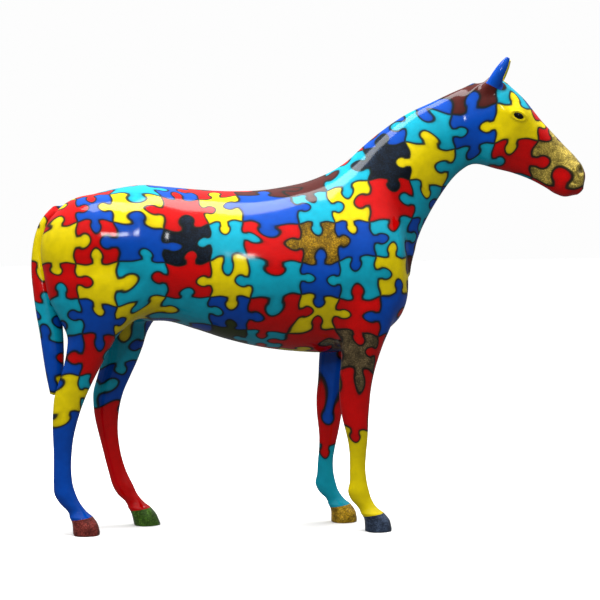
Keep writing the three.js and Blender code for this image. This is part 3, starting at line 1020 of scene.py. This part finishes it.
def numbered_paint(tree, number, place):
    """The paint of a colour's number, and whether it is glitter.

    A ramp in even steps holds the colours. Faint brush marks lighten and darken all of them, and
    each flake of glitter has a painted glint: a brightness by chance, squared so that few of them are
    bright, standing for the light that a tilted flake catches.
    """
    share = add(tree, MATHS, (number, 1 / len(COLOURS), 0.5 / len(COLOURS)), operation="MULTIPLY_ADD")
    ramp = add(tree, "ShaderNodeValToRGB", (share,)).node
    ramp.color_ramp.interpolation = "CONSTANT"
    while len(ramp.color_ramp.elements) < len(COLOURS):
        ramp.color_ramp.elements.new(1)
    for i, (element, colour) in enumerate(zip(ramp.color_ramp.elements, COLOURS.values())):
        element.position = i / len(COLOURS)
        element.color = linear(colour)
    marks = {"Vector": place, "Scale": BRUSH_MARKS, "Detail": 3.0}
    strokes = add(tree, "ShaderNodeTexNoise", marks)
    strokes = add(tree, RANGE, (strokes, 0.3, 0.7, 0.90, 1.06))
    paint = add(tree, VECTOR, (ramp.outputs["Color"], strokes), operation="MULTIPLY")

    flakes = add(tree, "ShaderNodeTexVoronoi", {"Vector": place, "Scale": FLAKES}).node
    flake = add(tree, SPLIT, (flakes.outputs["Color"],)).node.outputs[0]
    clouds = add(tree, "ShaderNodeTexNoise", {"Vector": place, "Scale": THIN_SPOTS, "Detail": 2.0})
    clouds = add(tree, RANGE, (clouds, 0.35, 0.65, 0.62, 1.25), interpolation_type="SMOOTHSTEP")
    # Painted glints: each flake's chance brightness stands for the light it catches.
    painted_glint = add(tree, MATHS, (flake, 2.0), operation="POWER")
    painted_glint = add(tree, MATHS, (painted_glint, 1.3, 0.74), operation="MULTIPLY_ADD")
    painted_glint = add(tree, MATHS, (painted_glint, clouds), operation="MULTIPLY")
    paint_with_painted_glints = add(tree, VECTOR, (paint, painted_glint), operation="MULTIPLY")
    glitter = add(tree, MATHS, (number, NUMBERS["gold"] - 0.5), operation="GREATER_THAN")
    mixed = {PART: glitter, COLOUR_A: paint, COLOUR_B: paint_with_painted_glints}
    return add(tree, MIX, mixed, data_type="RGBA"), glitter


def coat_material():
    """Glass-fibre resin, painted by brush and sealed with a thick clear gloss lacquer.

    Flat bright enamel under a wet-looking coat: soft-box reflections, a little rippled, over even
    colour, with a soft dark line brushed along every joint between the pieces of the puzzle.
    """
    material = bpy.data.materials.new("gloss_lacquered_enamel_on_resin")
    material.use_nodes = True
    tree = material.node_tree
    shader = tree.nodes["Principled BSDF"]
    coat = add(tree, "ShaderNodeAttribute", attribute_name="coat").node.outputs["Vector"]
    marks = add(tree, "ShaderNodeAttribute", attribute_name="marks").node.outputs["Vector"]
    place = add(tree, "ShaderNodeTexCoord").node.outputs["Object"]
    along, up, hoof = add(tree, SPLIT, (coat,)).node.outputs
    ear, eye, nostril = add(tree, SPLIT, (marks,)).node.outputs
    on_ear = add(tree, MATHS, (ear, 0.0), operation="GREATER_THAN")
    piece, gap = puzzle_pieces(tree, along, up)
    gap = add(tree, MATHS, (gap, on_ear), operation="ADD")
    number = colour_number(tree, piece, place, hoof, on_ear)
    paint, glitter = numbered_paint(tree, number, place)

    shade = add(tree, RANGE, (gap, 0.0, 0.11, 0.7, 1.0), interpolation_type="SMOOTHSTEP")
    paint = add(tree, VECTOR, (paint, shade), operation="MULTIPLY")
    line = add(tree, RANGE, (gap, 0.010, 0.042, 0.92, 0.0), interpolation_type="SMOOTHSTEP")
    eye = add(tree, RANGE, (eye, 0.0, 0.08, 0.0, 1.0))
    # Painted shade in each nostril's hollow: its oval is darkened towards near black.
    nostril = add(tree, RANGE, (nostril, -0.1, 0.4, 0.0, 0.8))
    for part, colour in ((line, LINE_COLOUR), (eye, EYE_COLOUR), (nostril, NOSTRIL_SHADE_COLOUR)):
        mixed = {PART: part, COLOUR_A: paint, COLOUR_B: linear(colour)}
        paint = add(tree, MIX, mixed, data_type="RGBA")

    metal = add(tree, MATHS, (glitter, 0.55), operation="MULTIPLY")
    rough = add(tree, RANGE, (metal, 0.0, 0.55, 0.45, 0.35))
    ripple = add(tree, "ShaderNodeTexNoise", {"Vector": place, "Scale": RIPPLES, "Detail": 1.0})
    relief = add(tree, "ShaderNodeBump", {"Strength": 0.06, "Distance": 0.002, "Height": ripple})
    tree.links.new(paint, shader.inputs["Base Color"])
    tree.links.new(metal, shader.inputs["Metallic"])
    tree.links.new(rough, shader.inputs["Roughness"])
    tree.links.new(relief, shader.inputs["Normal"])
    tree.links.new(relief, shader.inputs["Coat Normal"])
    shader.inputs["Specular IOR Level"].default_value = 0.0  # only the lacquer shines
    shader.inputs["Coat Weight"].default_value = 0.4
    shader.inputs["Coat Roughness"].default_value = 0.1
    shader.inputs["Coat IOR"].default_value = 1.5
    return material


def floor_material():
    """Matt pale studio paper: even, with a faint mottle so that it isn't a flat colour."""
    material = bpy.data.materials.new("matt_pale_studio_paper")
    material.use_nodes = True
    tree = material.node_tree
    shader = tree.nodes["Principled BSDF"]
    place = add(tree, "ShaderNodeTexCoord").node.outputs["Object"]
    mottle = add(tree, "ShaderNodeTexNoise", {"Vector": place, "Scale": MOTTLE})
    mixed = {PART: mottle, COLOUR_A: linear("F0F0EE"), COLOUR_B: linear("F4F4F3")}
    pale = add(tree, MIX, mixed, data_type="RGBA")
    tree.links.new(pale, shader.inputs["Base Color"])
    shader.inputs["Roughness"].default_value = 0.9
    shader.inputs["Specular IOR Level"].default_value = 0.1
    return material


def soft_box(name, place, aim, width, height, power):
    """A rectangular studio lamp at a place, facing a point, of a width and height in metres."""
    lamp = bpy.data.lights.new(name, "AREA")
    lamp.shape = "RECTANGLE"
    lamp.size, lamp.size_y, lamp.energy = width, height, power
    thing = bpy.data.objects.new(name, lamp)
    thing.location = place
    thing.rotation_euler = (Vector(aim) - Vector(place)).to_track_quat("-Z", "Y").to_euler()
    bpy.context.scene.collection.objects.link(thing)
    return thing


def studio():
    """A pale floor, a pale room that is brighter overhead, and four lamps.

    The floor neither shows in the gloss nor lights the horse. Of the large lamps only the first
    shows in the gloss, as a streak along the back, so the paint keeps its full colour elsewhere.
    """
    scene = bpy.context.scene
    side = 40.0  # half of the floor's length
    corners = [(-side, -side, 0), (side, -side, 0), (side, side, 0), (-side, side, 0)]
    mesh = bpy.data.meshes.new("studio_floor")
    mesh.from_pydata(corners, [], [(0, 1, 2, 3)])
    mesh.materials.append(floor_material())
    floor = bpy.data.objects.new("studio_floor", mesh)
    floor.visible_glossy = False
    floor.visible_diffuse = False
    scene.collection.objects.link(floor)

    world = bpy.data.worlds.new("pale_room")
    world.use_nodes = True
    tree = world.node_tree
    shader = tree.nodes["Background"]
    way = add(tree, "ShaderNodeTexCoord").node.outputs["Generated"]
    _, _, height = add(tree, SPLIT, (way,)).node.outputs
    light = add(tree, RANGE, (height, 0.15, 1.0, 0.28, 1.85))
    seen = add(tree, "ShaderNodeLightPath").node.outputs["Is Camera Ray"]
    strength = add(tree, MIX, {PART: seen, NUMBER_A: light, NUMBER_B: 1.0})
    tree.links.new(strength, shader.inputs["Strength"])
    shader.inputs["Color"].default_value = linear("FDFDFD")
    scene.world = world

    soft_box("overhead_box", (-0.2, 0.1, 4.8), (-0.1, 0, 1.0), 4.6, 1.2, 240)
    fill = soft_box("overhead_fill", (0, -0.6, 5.2), (0, 0, 1.0), 4.0, 2.0, 200)
    fill.visible_glossy = False
    front = soft_box("front_box", (-2.5, -6.5, 4.6), (0, 0, 1.0), 3.0, 2.0, 165)
    front.visible_glossy = False
    soft_box("small_lamp", (-0.8, -8.2, 4.6), (0, 0, 1.2), 0.8, 0.8, 75)
    scene.view_settings.view_transform = "Standard"


def camera():
    """The camera where the photo was taken: a little above the barrel, square to the right side."""
    scene = bpy.context.scene
    lens = bpy.data.cameras.new("camera")
    lens.sensor_width = 36
    lens.lens = 113.6
    thing = bpy.data.objects.new("camera", lens)
    thing.location = (-0.037, -8.5, 1.45)
    aim = Euler((math.radians(90 - 2.842), 0, 0)).to_matrix()
    roll = Euler((0, 0, math.radians(-0.8))).to_matrix()
    thing.rotation_euler = (aim @ roll).to_euler()
    scene.collection.objects.link(thing)
    scene.camera = thing


camera()
studio()
surface = horse_mesh()
surface.materials.append(coat_material())
horse = bpy.data.objects.new("painted_horse", surface)
bpy.context.scene.collection.objects.link(horse)
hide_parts("horse")
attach(horse, "root")
